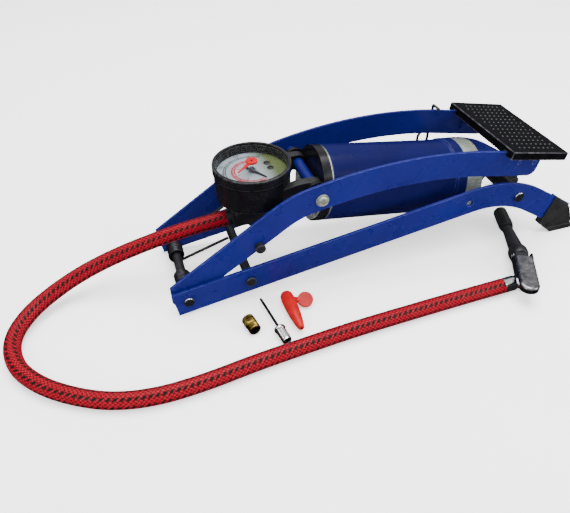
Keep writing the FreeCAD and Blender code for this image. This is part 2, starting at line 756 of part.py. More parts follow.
def connector_body():
    """Body with the lever's hump, and a flat seat on one side for the ferrule and the hose socket."""
    end = HOSE_END + HOSE_END_WAY * FERRULE_LENGTH
    barrel = lathe(disc(BODY_R, COLLAR_END - 1, BODY_END), BODY_ORIGIN, BODY_BACK).cut(connector_collar())
    hump = chuck_box(57, 67.5, -4.4, 4.4, MOUTH.z, 13.4)
    socket = bar(end - HOSE_END_WAY, end + HOSE_END_WAY * 9, HOSE_R - 0.4)
    solid = fuse([barrel, hump, socket]).cut(bar(end - HOSE_END_WAY * 8, end, 9))
    return solid.cut(bar(chuck_point(LEVER_PIN_H, -9, LEVER_PIN_Z), chuck_point(LEVER_PIN_H, 9, LEVER_PIN_Z),
                         LEVER_PIN_R))


def lever_pin():
    """Pin through the body's hump and the lever's cheeks, with a head at each end."""
    reach = LEVER_HALF + 0.2
    pieces = [bar(chuck_point(LEVER_PIN_H, -reach, LEVER_PIN_Z), chuck_point(LEVER_PIN_H, reach, LEVER_PIN_Z),
                  LEVER_PIN_R)]
    for side in SIDES:
        pieces.append(bar(chuck_point(LEVER_PIN_H, side * reach, LEVER_PIN_Z),
                          chuck_point(LEVER_PIN_H, side * (reach + 0.7), LEVER_PIN_Z), 2.1))
    return fuse(pieces)


def tongue(half, tail, low, high):
    """Bar over the connector's body with a round end."""
    middle = tail - half
    return fuse([chuck_box(LEVER_FRONT, middle, -half, half, low, high),
                 Part.makeCylinder(half, high - low, chuck_point(middle, 0, low))])


def chuck_lever():
    """Cam lever: a tongue with a domed top, hollow below, whose cheeks turn on the pin."""
    wall = 1.0
    under = LEVER_TOP - 1.5
    outside = tongue(LEVER_HALF, LEVER_TIP, LEVER_LOW, LEVER_TOP)
    crown = [edge for edge in outside.Edges if edge.BoundBox.ZMin > LEVER_TOP - 0.01]
    outside = outside.makeFillet(LEVER_DOME, crown)
    solid = outside.cut(tongue(LEVER_HALF - wall, LEVER_TIP - wall, LEVER_LOW - 1, under))
    inside = LEVER_HALF - wall
    solid = solid.cut(chuck_box(LEVER_FRONT - 1, LEVER_CROWN, -inside, inside, under - 1, 20))
    for side in SIDES:
        low, high = sorted((side * (LEVER_HALF - wall), side * LEVER_HALF))
        eye = bar(chuck_point(LEVER_PIN_H, low, LEVER_PIN_Z), chuck_point(LEVER_PIN_H, high, LEVER_PIN_Z),
                  3.6)
        solid = fuse([solid, eye])
    return solid.cut(bar(chuck_point(LEVER_PIN_H, -9, LEVER_PIN_Z), chuck_point(LEVER_PIN_H, 9, LEVER_PIN_Z),
                         LEVER_PIN_R + RUNNING))


# ---------------------------------------------------------------- loose adapters
NEEDLE_TIP = Vector(53.9, -39.9, 3.9)
NEEDLE_WAY = Vector(5.9, -42.2, 0).normalize()
BRASS_MIDDLE = Vector(42.0, -60.9, 4.3)
BRASS_WAY = Vector(0.2, -0.98, 0).normalize()
CONE_WIDE = Vector(71.0, -42.3, 4.7)
CONE_TIP = Vector(71.2, -74.6, 4.7)
HUB_START = 28.6
HUB_END = 41.4


def brass_adapter():
    """Turned valve adapter with a knurled rear part and a threaded front mouth."""
    return lathe([(1.0, -5.8), (3.9, -5.8), (4.2, -5.4), (4.2, 0.6), (3.7, 1.2), (3.7, 1.9), (4.0, 2.4),
                  (4.0, 5.5),
                  (3.8, 5.8), (3.0, 5.8), (3.0, -2.2), (1.0, -2.2)], BRASS_MIDDLE, BRASS_WAY)


def ball_needle():
    """Thin ball needle."""
    return lathe([(0, 0), (0.6, 0), (0.95, 0.8), (0.95, HUB_START), (0, HUB_START)], NEEDLE_TIP, NEEDLE_WAY)


def needle_hub():
    """Plated hub with a thin flange and an open threaded mouth."""
    return lathe([(0, HUB_START), (2.2, HUB_START), (3.1, 29.6), (3.8, 29.8), (3.8, 31.2), (3.2, 31.4),
                  (3.2, HUB_END), (2.5, HUB_END), (2.5, 34.0), (0, 34.0)], NEEDLE_TIP, NEEDLE_WAY)


def cone_nozzle():
    """Plump tapered inflation nozzle with a tilted paddle-shaped tab."""
    length = (CONE_TIP - CONE_WIDE).Length
    cone = lathe([(2.9, 0), (3.4, 0), (4.2, 1.4), (4.6, 5), (4.5, 12), (4.0, 20), (3.1, 27),
                  (2.2, length - 0.8),
                  (1.6, length), (0.9, length), (0.9, 12), (2.9, 9)], CONE_WIDE, CONE_TIP - CONE_WIDE)
    neck = [Vector(74.0, -47.0, 3.6), Vector(79, -48.6, 3.6), Vector(79, -52.4, 3.6),
            Vector(74.0, -51.2, 3.6)]
    tab = [Part.Face(Part.makePolygon(neck + neck[:1])).extrude(Vector(0, 0, 2.2)),
           Part.makeCylinder(5.3, 2.2, Vector(82.0, -50.6, 3.6), Vector(0, -0.42, 0.91))]
    return fuse([cone] + tab)


# ---------------------------------------------------------------- motion, printed for the record
PEDAL_TRAVEL = 30.0


def print_motion():
    """Secant ratios that close the linkage at both ends of the pedal's travel."""
    swing = FreeCAD.Rotation(Vector(0, -1, 0), PEDAL_TRAVEL)
    raised = spot(HINGE) + swing.multVec(spot(PIVOT) - spot(HINGE))
    reach = spot(SHAFT) - raised
    angle = math.atan2(reach.z, reach.x) + math.asin(PIVOT_RISE / reach.Length)
    turn = math.degrees(angle - AXIS_ANGLE) - PEDAL_TRAVEL
    travel = math.sqrt(reach.Length ** 2 - PIVOT_RISE ** 2) - math.sqrt(REACH.Length ** 2 - PIVOT_RISE ** 2)
    print("axis angle %.4f deg, along (%.6f, 0, %.6f)" % (math.degrees(AXIS_ANGLE), ALONG.x, ALONG.z))
    print("cylinder turn %.4f deg, ratio %.6f" % (turn, turn / PEDAL_TRAVEL))
    print("rod travel %.4f mm, ratio %.6f m/rad" % (travel, travel / 1000 / math.radians(PEDAL_TRAVEL)))


# ---------------------------------------------------------------- nodes
PISTON_S = 17.0

NODES = {
    "base_rail_near": rail(-1),
    "base_rail_far": rail(1),
    "hinge_shaft": riveted_rod(HINGE, HINGE_R, 3.4),
    "hinge_tube": sleeve(HINGE, -ARM_INNER + 0.3, ARM_INNER - 0.3, 3.3, HINGE_R),
    "torsion_spring": torsion_spring(),
    "base_cross_rod": cross_rod(),
    "rear_bolt": riveted_rod(SHAFT, BOLT_R, 3.8),
    "rear_spacer_tube": sleeve(SHAFT, -RAIL_INNER, RAIL_INNER, SPACER_R, BOLT_R),
    "foot_near": foot(-1),
    "foot_far": foot(1),
    "latch_staple": latch_staple(),
    "latch_hook": latch_hook(),
    "pedal_arm_near": arm(-1),
    "pedal_arm_far": arm(1),
    "pedal_plate": pedal_plate(),
    "pedal_tread": pedal_tread(),
    "pedal_bracket": pedal_bracket(),
    "pedal_rivets": pedal_rivets(),
    "stop_studs": stop_studs(),
    "spring_arm_legs": spring_arm_legs(),
    "pivot_tube": sleeve(PIVOT, -ARM_INNER, ARM_INNER, PIVOT_TUBE_R, SCREW_R),
    "pivot_screws": pivot_screws(),
    "pivot_washers": pivot_washers(),
    "head_cap": head_cap(),
    "head_plate": head_plate(),
    "head_gasket": turned(ring(BORE_R, 22.9, 7, 9)),
    "outlet_valve": turned(disc(6, 12, 12.8)),
    "cylinder_tube": cylinder_tube(),
    "barrel_shell": barrel_shell(),
    "rear_cap": rear_cap(),
    "piston": turned(ring(23.6, ROD_R, PISTON_S + 3, PISTON_S + 9)),
    "piston_cup": turned([(ROD_R, PISTON_S), (22.0, PISTON_S), (BORE_R - 0.05, PISTON_S - 2.5),
                          (BORE_R - 0.05, PISTON_S + 3), (ROD_R, PISTON_S + 3)]),
    "piston_nut": turned(ring(8.0, 3.0, PISTON_S - 3.2, PISTON_S)),
    "piston_rod": turned([(0, PISTON_S - 3.2), (3.0, PISTON_S - 3.2), (3.0, PISTON_S), (ROD_R, PISTON_S),
                          (ROD_R, ROD_EYE_S - 19), (0, ROD_EYE_S - 19)]),
    "rod_end": rod_end(),
    "manifold": manifold(),
    "gauge_bracket": gauge_bracket(),
    "gauge_case": gauge_case(),
    "gauge_bezel": gauge_bezel(),
    "gauge_lens": gauge_lens(),
    "gauge_dial": gauge_turned(ring(22.9, 1.4, DIAL_Z, DIAL_Z + 0.6)),
    "gauge_movement": gauge_movement(),
    "bourdon_tube": bourdon_tube(),
    "gauge_needle": pointer(-57.0, 12.5, 5.0, 0.9, 78.6, 79.2, 1.9),
    "gauge_marker": pointer(222.0, 15.4, 2.0, 1.3, LENS_TOP + 0.2, LENS_TOP + 0.7, 3.8),
    "hose": hose(),
    "hose_ferrule": hose_ferrule(),
    "connector_body": connector_body(),
    "connector_collar": connector_collar(),
    "nozzle_cone": nozzle_cone(),
    "nozzle_sleeve": nozzle_sleeve(),
    "valve_seal": valve_seal(),
    "lever_pin": lever_pin(),
    "chuck_lever": chuck_lever(),
    "brass_adapter": brass_adapter(),
    "ball_needle": ball_needle(),
    "needle_hub": needle_hub(),
    "cone_nozzle": cone_nozzle(),
}

CORD_NODES = ("hose", "hose_ferrule", "connector_body", "connector_collar", "nozzle_cone", "nozzle_sleeve",
              "valve_seal", "lever_pin", "chuck_lever")

print_motion()
box = FreeCAD.BoundBox()
for name, shape in NODES.items():
    shape.translate(ROW_SHIFT)
    if name not in CORD_NODES:
        box.add(shape.BoundBox)
    if not shape.isValid():
        print("not valid:", name)
    shape.exportStep("parts/%s.step" % name)
print("box without the cord: x %.2f..%.2f  y %.2f..%.2f  z %.2f..%.2f" % (
    box.XMin, box.XMax, box.YMin, box.YMax, box.ZMin, box.ZMax))
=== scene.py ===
import json
import math

import bmesh
import bpy
import numpy as np
from mathutils import Matrix, Vector

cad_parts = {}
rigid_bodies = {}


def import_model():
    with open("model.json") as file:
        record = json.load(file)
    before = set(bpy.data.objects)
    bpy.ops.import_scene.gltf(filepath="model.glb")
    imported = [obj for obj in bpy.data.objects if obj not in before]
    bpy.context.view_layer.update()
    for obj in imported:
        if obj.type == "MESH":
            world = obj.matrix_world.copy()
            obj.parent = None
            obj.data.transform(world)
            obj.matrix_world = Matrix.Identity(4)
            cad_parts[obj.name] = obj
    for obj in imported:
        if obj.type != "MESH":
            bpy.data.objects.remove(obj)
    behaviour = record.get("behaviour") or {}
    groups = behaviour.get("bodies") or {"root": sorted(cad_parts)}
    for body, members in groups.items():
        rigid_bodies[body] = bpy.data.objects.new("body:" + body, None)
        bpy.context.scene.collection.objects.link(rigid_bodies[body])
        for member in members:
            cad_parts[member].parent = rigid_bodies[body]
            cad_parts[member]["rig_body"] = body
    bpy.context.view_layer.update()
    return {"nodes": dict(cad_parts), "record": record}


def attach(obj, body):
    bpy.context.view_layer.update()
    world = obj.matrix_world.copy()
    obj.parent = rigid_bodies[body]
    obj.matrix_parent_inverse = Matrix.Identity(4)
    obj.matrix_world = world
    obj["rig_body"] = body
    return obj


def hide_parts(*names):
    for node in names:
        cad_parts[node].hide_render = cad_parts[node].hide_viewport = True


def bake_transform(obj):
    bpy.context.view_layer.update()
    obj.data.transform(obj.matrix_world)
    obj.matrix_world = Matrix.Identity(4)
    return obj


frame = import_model()
NODES = frame["nodes"]

# Foot pump with a gauge, a braided hose and three loose adapters. Places are written in the pump's own
# millimetres, as in the CAD: x from the front lower corners of the rails, y from the middle plane, z up.
MM = 0.001
ROW_SHIFT = Vector((-152.5, 21.4, 0.0))
UP = Vector((0.0, 0.0, 1.0))
ALONG_Y = Vector((0.0, 1.0, 0.0))
SIDES = (-1, 1)


def at(x, y, z):
    """Row-frame point, in metres, of a point of the pump's own frame."""
    return (Vector((x, y, z)) + ROW_SHIFT) * MM


# ---------------------------------------------------------------- camera, light and floor
CAMERA_PLACE = at(-10.35, -293.23, 268.11)
CAMERA_YAW = math.radians(17.918)
CAMERA_PITCH = math.radians(41.046)
CAMERA_ROLL = math.radians(-0.315)
CAMERA_LENS = 34.79


def make_camera():
    """Camera out from the near side of the pump's front end, looking across the pump and down."""
    flat = Vector((math.sin(CAMERA_YAW), math.cos(CAMERA_YAW), 0.0))
    forward = flat * math.cos(CAMERA_PITCH) - UP * math.sin(CAMERA_PITCH)
    level = Vector((math.cos(CAMERA_YAW), -math.sin(CAMERA_YAW), 0.0))
    upright = level.cross(forward)
    right = level * math.cos(CAMERA_ROLL) + upright * math.sin(CAMERA_ROLL)
    above = upright * math.cos(CAMERA_ROLL) - level * math.sin(CAMERA_ROLL)
    data = bpy.data.cameras.new("camera")
    data.lens = CAMERA_LENS
    data.sensor_fit = "HORIZONTAL"
    data.sensor_width = 36.0
    data.clip_start = 0.01
    camera = bpy.data.objects.new("camera", data)
    camera.matrix_world = Matrix((right, above, -forward)).transposed().to_4x4()
    camera.matrix_world.translation = CAMERA_PLACE
    bpy.context.scene.collection.objects.link(camera)
    bpy.context.scene.camera = camera


def softbox(name, place, target, width, height, power):
    """Large area light aimed at a point."""
    data = bpy.data.lights.new(name, "AREA")
    data.shape = "RECTANGLE"
    data.size = width
    data.size_y = height
    data.energy = power
    light = bpy.data.objects.new(name, data)
    light.location = place
    light.rotation_euler = (Vector(target) - Vector(place)).to_track_quat("-Z", "Y").to_euler()
    bpy.context.scene.collection.objects.link(light)


def make_world():
    """Pale surroundings, brighter overhead than at the horizon."""
    world = bpy.data.worlds.new("studio")
    world.use_nodes = True
    nodes = world.node_tree.nodes
    links = world.node_tree.links
    background = nodes["Background"]
    place = nodes.new("ShaderNodeTexCoord")
    split = nodes.new("ShaderNodeSeparateXYZ")
    ramp = nodes.new("ShaderNodeValToRGB")
    ramp.color_ramp.elements[0].position = 0.0
    ramp.color_ramp.elements[0].color = (0.03, 0.03, 0.035, 1.0)
    ramp.color_ramp.elements[1].position = 0.55
    ramp.color_ramp.elements[1].color = (1.0, 1.0, 1.0, 1.0)
    links.new(place.outputs["Generated"], split.inputs[0])
    links.new(split.outputs["Z"], ramp.inputs[0])
    links.new(ramp.outputs[0], background.inputs["Color"])
    background.inputs["Strength"].default_value = 1.0
    bpy.context.scene.world = world


# ---------------------------------------------------------------- materials
class Look:
    """One material's node tree round a principled shader. Sizes are in millimetres."""

    def __init__(self, name, **fixed):
        self.material = bpy.data.materials.new(name)
        self.material.use_nodes = True
        self.tree = self.material.node_tree
        self.shader = self.tree.nodes["Principled BSDF"]
        for socket, value in fixed.items():
            self.shader.inputs[socket.replace("_", " ")].default_value = value

    def node(self, kind, **values):
        """New shader node."""
        made = self.tree.nodes.new("ShaderNode" + kind)
        for key, value in values.items():
            setattr(made, key, value)
        return made

    def feed(self, socket, value):
        """Links an output to a socket, or sets the socket to a plain value."""
        if isinstance(value, bpy.types.NodeSocket):
            self.tree.links.new(value, socket)
        else:
            socket.default_value = value

    def set(self, name, value):
        """Feeds one of the shader's own sockets."""
        self.feed(self.shader.inputs[name], value)

    def maths(self, operation, first, second=0.0):
        """One step of arithmetic."""
        made = self.node("Math", operation=operation)
        self.feed(made.inputs[0], first)
        self.feed(made.inputs[1], second)
        return made.outputs[0]

    def noise(self, size, detail=3.0, stretch=(1.0, 1.0, 1.0)):
        """Noise from 0 to 1 with features of a size, drawn out along the axes whose stretch is small."""
        mapping = self.node("Mapping")
        mapping.inputs["Scale"].default_value = stretch
        self.feed(mapping.inputs["Vector"], self.node("TexCoord").outputs["Object"])
        made = self.node("TexNoise")
        self.feed(made.inputs["Vector"], mapping.outputs[0])
        made.inputs["Scale"].default_value = 1.0 / (size * MM)
        made.inputs["Detail"].default_value = detail
        return made.outputs[0]

    def spread(self, value, start, end, low, high):
        """Value moved from one range to another, and held inside it."""
        made = self.node("MapRange")
        self.feed(made.inputs["Value"], value)
        for socket, number in zip(("From Min", "From Max", "To Min", "To Max"), (start, end, low, high)):
            made.inputs[socket].default_value = number
        return made.outputs[0]

    def mix(self, share, first, second):
        """Colour between two."""
        made = self.node("Mix", data_type="RGBA")
        self.feed(made.inputs[0], share)
        for socket, colour in ((made.inputs[6], first), (made.inputs[7], second)):
            self.feed(socket, colour if isinstance(colour, bpy.types.NodeSocket) else (*colour, 1.0))
        return made.outputs[2]

    def relief(self, height, depth):
        """Surface relief of a depth."""
        made = self.node("Bump")
        made.inputs["Strength"].default_value = 1.0
        made.inputs["Distance"].default_value = depth * MM
        self.feed(made.inputs["Height"], height)
        self.set("Normal", made.outputs[0])

    def edge_wear_and_sheen_share(self):
        """Share of the edge colour at a spot: the bevelled edges carry it, broken up by noise but never
        below a quarter, so it paints wear and a highlight along the edges at once.
        """
        edge = self.node("Attribute", attribute_type="GEOMETRY", attribute_name="edge_wear_and_sheen").outputs["Fac"]
        return self.maths("MULTIPLY", edge, self.spread(self.noise(3.0, 6.0), 0.42, 0.66, 0.25, 1.0))


def surface(name, dark, light, patch, rough, grain, depth, edge_wear_and_sheen=None, stretch=(1.0, 1.0, 1.0), **fixed):
    """Material whose colour and roughness wander in patches, with a fine grain and lighter bevelled edges
    that are partly rubbed wear and partly a painted highlight.
    """
    look = Look(name, **fixed)
    colour = look.mix(look.spread(look.noise(patch, 4.0, stretch), 0.35, 0.65, 0.0, 1.0), dark, light)
    roughness = look.spread(look.noise(patch * 0.37, 5.0, stretch), 0.3, 0.7, rough[0], rough[1])
    if edge_wear_and_sheen is not None:
        # Bevelled edges turn lighter: rubbed wear, and a painted highlight where the edges catch the light.
        edge_wear_and_sheen_share = look.edge_wear_and_sheen_share()
        colour = look.mix(look.maths("MULTIPLY", edge_wear_and_sheen_share, 0.7), colour, edge_wear_and_sheen)
        roughness = look.maths("ADD", roughness, look.maths("MULTIPLY", edge_wear_and_sheen_share, 0.15))
    look.set("Base Color", colour)
    look.set("Roughness", roughness)
    look.relief(look.noise(grain, 2.0, stretch), depth)
    return look.material


def braid_look():
    """Woven hose cover: crossing yarns, with rows of short black tracer stitches."""
    look = Look("braid", Coat_Weight=0.03, Coat_Roughness=0.20, Specular_IOR_Level=0.09)
    split = look.node("SeparateXYZ")
    look.feed(split.inputs[0], look.node("TexCoord").outputs["UV"])
    round_it = split.outputs[0]
    along = split.outputs[1]
    carriers = 14.0
    pitch = 2.7 * MM
    stitch_rows = 6.0
    stitch_pitch = 3.8 * MM
    turns = look.maths("MULTIPLY", round_it, carriers)
    steps = look.maths("DIVIDE", along, pitch)
    waves = []
    for operation in ("ADD", "SUBTRACT"):
        phase = look.maths("MULTIPLY", look.maths(operation, turns, steps), math.pi)
        waves.append(look.maths("COSINE", phase))
    over = look.spread(look.maths("MULTIPLY", waves[0], waves[1]), -0.12, 0.12, 0.25, 1.0)
    under = look.maths("SUBTRACT", 1.25, over)
    strands = [look.maths("MULTIPLY", look.maths("ABSOLUTE", wave), level)
               for wave, level in zip(waves, (over, under))]
    weave = look.maths("MAXIMUM", strands[0], strands[1])
    yarn_phase = look.maths("MULTIPLY", look.maths("ADD", turns, steps), 4.0 * math.tau)
    yarns = look.maths("MULTIPLY", look.maths("SINE", yarn_phase), 0.12)
    rows = look.maths("MULTIPLY", round_it, stitch_rows)
    across = look.maths("SUBTRACT", look.maths("FRACT", rows), 0.5)
    lane = look.maths("FLOOR", rows)
    row = look.spread(look.maths("ABSOLUTE", across), 0.17, 0.25, 1.0, 0.0)
    offset = look.maths("MULTIPLY", look.maths("MODULO", lane, 2.0), 0.5)
    ticks = look.maths("ADD", look.maths("DIVIDE", along, stitch_pitch), look.maths("MULTIPLY", across, 1.1))
    beats = look.maths("FRACT", look.maths("ADD", ticks, offset))
    beat = look.maths("ABSOLUTE", look.maths("SUBTRACT", beats, 0.5))
    stitch = look.maths("MULTIPLY", row, look.spread(beat, 0.24, 0.33, 1.0, 0.0))
    # The red darkens between the yarns and where they dip under, and lightens on their crowns: painted shade
    # and highlight in the weave, with random tone from noise.
    hollow_shade_and_tone = look.maths("ADD", weave, look.maths("MULTIPLY", look.noise(1.6, 5.0), 0.35))
    red = look.mix(look.spread(hollow_shade_and_tone, 0.35, 1.2, 0.0, 1.0), (0.030, 0.0002, 0.0006), (0.31, 0.0005, 0.012))
    look.set("Base Color", look.mix(stitch, red, (0.004, 0.004, 0.003)))
    look.set("Roughness", look.spread(look.noise(2.5, 4.0), 0.3, 0.7, 0.30, 0.48))
    look.relief(look.maths("ADD", weave, yarns), 0.28)
    return look.material


def dial_look():
    """Printed dial: a pale blue white that turns yellow green on its pedal side."""
    look = Look("dial_face", Specular_IOR_Level=0.3)
    split = look.node("SeparateXYZ")
    look.feed(split.inputs[0], look.node("TexCoord").outputs["Object"])
    middle = at(62.6, 0.0, 0.0)
    east = look.maths("SUBTRACT", split.outputs[0], middle.x)
    north = look.maths("SUBTRACT", split.outputs[1], middle.y)
    lean = look.maths("ADD", look.maths("MULTIPLY", east, 0.97), look.maths("MULTIPLY", north, 0.1))
    ragged = look.maths("ADD", lean, look.maths("MULTIPLY", look.noise(6.0), 1.6 * MM))
    share = look.spread(ragged, 4.5 * MM, 15.0 * MM, 0.0, 1.0)
    pale = look.mix(look.noise(7.0), (0.20, 0.25, 0.29), (0.26, 0.30, 0.33))
    look.set("Base Color", look.mix(share, pale, (0.055, 0.075, 0.018)))
    look.set("Roughness", look.spread(look.noise(2.0), 0.3, 0.7, 0.42, 0.55))
    look.relief(look.noise(0.5), 0.01)
    return look.material


def lens_look():
    """Thin clear plastic, a little hazy where it has been wiped."""
    look = Look("lens", Base_Color=(0.02, 0.02, 0.02, 1.0), IOR=1.49)
    look.set("Roughness", look.spread(look.noise(9.0, 6.0), 0.3, 0.7, 0.03, 0.10))
    look.set("Alpha", look.spread(look.noise(5.0, 6.0, (1.0, 0.2, 1.0)), 0.4, 0.8, 0.05, 0.10))
    return look.material


LOOKS = {
    # The blue paint's pale edge colour is mostly a painted highlight, the light line along the top edges of
    # the arms and rails, with some rubbed wear.
    "blue_paint": surface("blue_paint", (0.0045, 0.0062, 0.090), (0.0056, 0.0078, 0.112), patch=45.0,
                          rough=(0.25, 0.31), grain=1.6, depth=0.002, edge_wear_and_sheen=(0.10, 0.12, 0.36),
                          Specular_IOR_Level=0.12, Coat_Weight=0.04, Coat_Roughness=0.10),
    # Darker, duller copy of the blue paint for the barrel shell: painted shade that keeps the barrel's top
    # dark under the overhead light.
    "barrel_paint_shaded": surface("barrel_paint_shaded", (0.0026, 0.0030, 0.038), (0.0033, 0.0038, 0.048),
                            patch=30.0, rough=(0.26, 0.34), grain=1.6, depth=0.002,
                            edge_wear_and_sheen=(0.03, 0.04, 0.20), Specular_IOR_Level=0.05),
    "black_paint": surface("black_paint", (0.006, 0.006, 0.008), (0.012, 0.012, 0.014), patch=9.0,
                           rough=(0.30, 0.46), grain=0.9, depth=0.01, edge_wear_and_sheen=(0.06, 0.06, 0.06),
                           Specular_IOR_Level=0.25),
    "zinc": surface("zinc", (0.22, 0.25, 0.22), (0.36, 0.38, 0.32), patch=7.0, rough=(0.20, 0.32),
                    grain=0.7, depth=0.004, edge_wear_and_sheen=(0.5, 0.5, 0.48), stretch=(0.25, 1.0, 1.0),
                    Metallic=0.55),
    "steel": surface("steel", (0.07, 0.08, 0.10), (0.16, 0.17, 0.19), patch=4.0, rough=(0.22, 0.40),
                     grain=0.5, depth=0.008, edge_wear_and_sheen=(0.4, 0.4, 0.4), Metallic=1.0),
    "chrome": surface("chrome", (0.48, 0.50, 0.51), (0.66, 0.67, 0.67), patch=6.0, rough=(0.08, 0.20),
                      grain=0.6, depth=0.006, edge_wear_and_sheen=(0.7, 0.7, 0.7), Metallic=1.0),
    "lever_metal": surface("lever_metal", (0.09, 0.09, 0.10), (0.20, 0.20, 0.21), patch=5.0,
                           rough=(0.20, 0.32), grain=0.5, depth=0.010, edge_wear_and_sheen=(0.6, 0.6, 0.6),
                           Metallic=1.0),
    "brass": surface("brass", (0.12, 0.08, 0.012), (0.26, 0.18, 0.035), patch=2.4, rough=(0.18, 0.34),
                     grain=0.35, depth=0.015, edge_wear_and_sheen=(0.62, 0.50, 0.24), stretch=(0.08, 1.0, 0.08),
                     Metallic=1.0),
    "black_plastic": surface("black_plastic", (0.006, 0.006, 0.007), (0.011, 0.011, 0.013), patch=5.0,
                             rough=(0.34, 0.50), grain=0.35, depth=0.02, edge_wear_and_sheen=(0.04, 0.04, 0.04),
                             Specular_IOR_Level=0.22),
    "tread": surface("tread", (0.0015, 0.0015, 0.002), (0.003, 0.003, 0.004), patch=5.0,
                     rough=(0.44, 0.60), grain=0.35, depth=0.02, edge_wear_and_sheen=(0.10, 0.10, 0.11),
                     Specular_IOR_Level=0.03),
    # Lighter, glossier copy of the tread's black plastic for its raised dots: painted highlight on the dots.
    "tread_dot_lit": surface("tread_dot_lit", (0.012, 0.012, 0.013), (0.028, 0.028, 0.030), patch=3.0,
                         rough=(0.24, 0.38), grain=0.35, depth=0.01, Specular_IOR_Level=0.6),
    "gloss_black": surface("gloss_black", (0.003, 0.003, 0.004), (0.006, 0.006, 0.008), patch=12.0,
                           rough=(0.16, 0.28), grain=2.0, depth=0.004, edge_wear_and_sheen=(0.04, 0.04, 0.04),
                           Specular_IOR_Level=0.18),
    "rubber": surface("rubber", (0.006, 0.006, 0.006), (0.012, 0.012, 0.012), patch=6.0,
                      rough=(0.50, 0.70), grain=0.5, depth=0.03, edge_wear_and_sheen=(0.04, 0.04, 0.04),
                      Specular_IOR_Level=0.25),
    "red_plastic": surface("red_plastic", (0.28, 0.002, 0.003), (0.36, 0.004, 0.005), patch=5.0,
                           rough=(0.30, 0.44), grain=0.7, depth=0.010, edge_wear_and_sheen=(0.60, 0.05, 0.05),
                           Specular_IOR_Level=0.14),
    "spring_steel": surface("spring_steel", (0.012, 0.012, 0.014), (0.030, 0.030, 0.034), patch=3.0,
                            rough=(0.26, 0.44), grain=0.4, depth=0.010, edge_wear_and_sheen=(0.15, 0.15, 0.15),
                            Metallic=0.85),
    "black_ink": surface("black_ink", (0.006, 0.012, 0.012), (0.012, 0.025, 0.025), patch=2.0,
                         rough=(0.40, 0.55), grain=0.4, depth=0.003, Specular_IOR_Level=0.2),
    "red_ink": surface("red_ink", (0.30, 0.004, 0.012), (0.38, 0.008, 0.02), patch=2.0,
                       rough=(0.40, 0.55), grain=0.4, depth=0.003, Specular_IOR_Level=0.2),
    "braid": braid_look(),
    "dial_face": dial_look(),
    "lens": lens_look(),
}


# ---------------------------------------------------------------- pieces
def finished(name, mesh, look, body, *nodes):
    """Mesh as a piece that rides on a body and stands for CAD nodes."""
    mesh.materials.clear()
    mesh.materials.append(LOOKS[look])
    made = bpy.data.objects.new(name, mesh)
    bpy.context.scene.collection.objects.link(made)
    if nodes:
        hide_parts(*nodes)
    if body is not None:
        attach(made, body)
    return made


def mesh_from(name, bm, sharp=35.0):
    """Mesh with smooth faces that meet sharply beyond an angle."""
    bm.normal_update()
    for face in bm.faces:
        face.smooth = True
    for edge in bm.edges:
        edge.smooth = len(edge.link_faces) == 2 and edge.calc_face_angle(0.0) < math.radians(sharp)
    mesh = bpy.data.meshes.new(name)
    bm.to_mesh(mesh)
    bm.free()
    return mesh


def bevelled(bm, width, segments=2, angle=28.0):
    """Rounds every edge sharper than an angle, and marks the new faces for the lighter edge colour of wear
    and painted highlight.
    """
    edge_wear_and_sheen = bm.faces.layers.float.new("edge_wear_and_sheen")
    bm.normal_update()
    edges = [e for e in bm.edges if len(e.link_faces) == 2 and e.calc_face_angle(0.0) > math.radians(angle)]
    made = bmesh.ops.bevel(bm, geom=edges, offset=width * MM, offset_type="OFFSET", segments=segments,
                           profile=0.5, affect="EDGES", clamp_overlap=True)
    for face in made["faces"]:
        face[edge_wear_and_sheen] = 1.0


def softened(node, look, body, width=0.3, segments=2):
    """Copy of a CAD node with rounded edges."""
    bm = bmesh.new()
    bm.from_mesh(NODES[node].data)
    bmesh.ops.remove_doubles(bm, verts=bm.verts, dist=2e-6)
    bmesh.ops.dissolve_limit(bm, angle_limit=math.radians(1.0), verts=bm.verts, edges=bm.edges)
    bevelled(bm, width, segments)
    made = finished(node + "_look", mesh_from(node, bm, 60.0), look, body, node)
    made.modifiers.new("even_normals", "WEIGHTED_NORMAL").keep_sharp = True
    return made


def lathe(outline, origin, axis, sides=64, shape=None):
    """Closed body turned about an axis from (radius, height) points; shape may change a radius."""
    bm = bmesh.new()
    turn = UP.rotation_difference(axis.normalized())
    rings = []
    for radius, height in outline:
        if radius == 0.0:
            rings.append([bm.verts.new(origin + turn @ Vector((0.0, 0.0, height * MM)))])
            continue
        ring = []
        for step in range(sides):
            angle = math.tau * step / sides
            reach = radius if shape is None else shape(radius, height, angle)
            place = Vector((reach * math.cos(angle), reach * math.sin(angle), height)) * MM
            ring.append(bm.verts.new(origin + turn @ place))
        rings.append(ring)
    for low, high in zip(rings, rings[1:] + rings[:1]):
        if len(low) == 1 and len(high) == 1:
            continue
        for step in range(sides):
            after = (step + 1) % sides
            corners = [low[step % len(low)], low[after % len(low)],
                       high[after % len(high)], high[step % len(high)]]
            bm.faces.new(list(dict.fromkeys(corners)))
    bmesh.ops.recalc_face_normals(bm, faces=bm.faces)
    return bm


def smooth_line(points, resolution):
    """Points read from the NURBS spline that a line's control points make."""
    curve = bpy.data.curves.new("line", "CURVE")
    curve.dimensions = "3D"
    curve.resolution_u = resolution
    spline = curve.splines.new("NURBS")
    spline.points.add(len(points) - 1)
    for slot, point in zip(spline.points, points):
        slot.co = (*point, 1.0)
    spline.order_u = 3
    spline.use_endpoint_u = True
    holder = bpy.data.objects.new("line", curve)
    mesh = bpy.data.meshes.new_from_object(holder)
    line = [vert.co.copy() for vert in mesh.vertices]
    bpy.data.objects.remove(holder)
    bpy.data.curves.remove(curve)
    bpy.data.meshes.remove(mesh)
    return line


def lengths(line):
    """Distance along a line at each of its points."""
    total = [0.0]
    for before, after in zip(line, line[1:]):
        total.append(total[-1] + (after - before).length)
    return total


